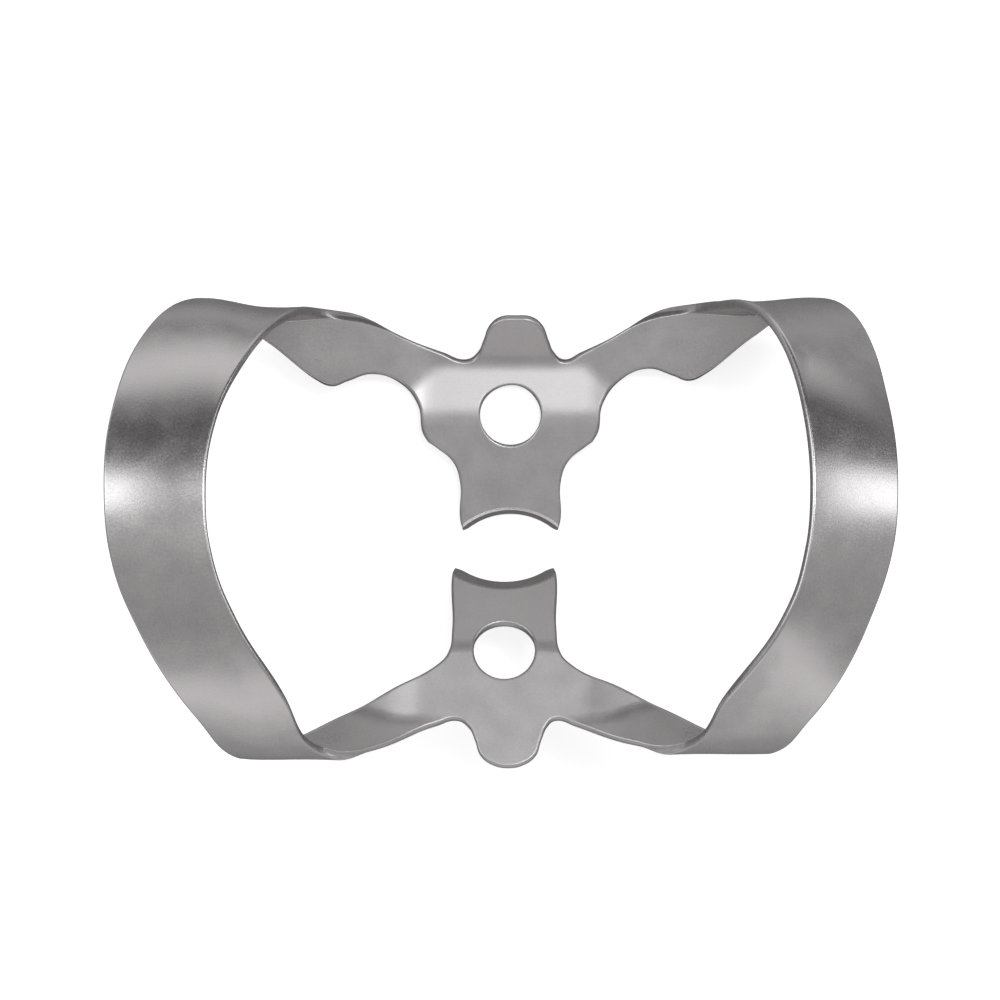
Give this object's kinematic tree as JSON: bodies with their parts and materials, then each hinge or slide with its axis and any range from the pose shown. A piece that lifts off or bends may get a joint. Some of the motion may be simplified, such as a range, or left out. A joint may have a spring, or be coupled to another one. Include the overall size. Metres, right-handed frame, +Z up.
{
  "type": "rubber dam clamp",
  "caption": "Bent spring steel clamp whose notched jaws grip the neck of a tooth and hold a rubber dam in place.",
  "frame": {"origin": "centre of the bounding box, on the table the clamp lies on", "axes": "+X from the left bow to the right bow, +Y from the lower jaw to the upper jaw (the one with the wings), +Z up from the table"},
  "size_m": [0.033, 0.02, 0.0145],
  "materials": {
    "satin_steel": "satin polished spring steel with a fine grain, bright along the rounded edges"
  },
  "bodies": {
    "root": {"clamp_body": "satin_steel"}
  },
  "joints": []
}
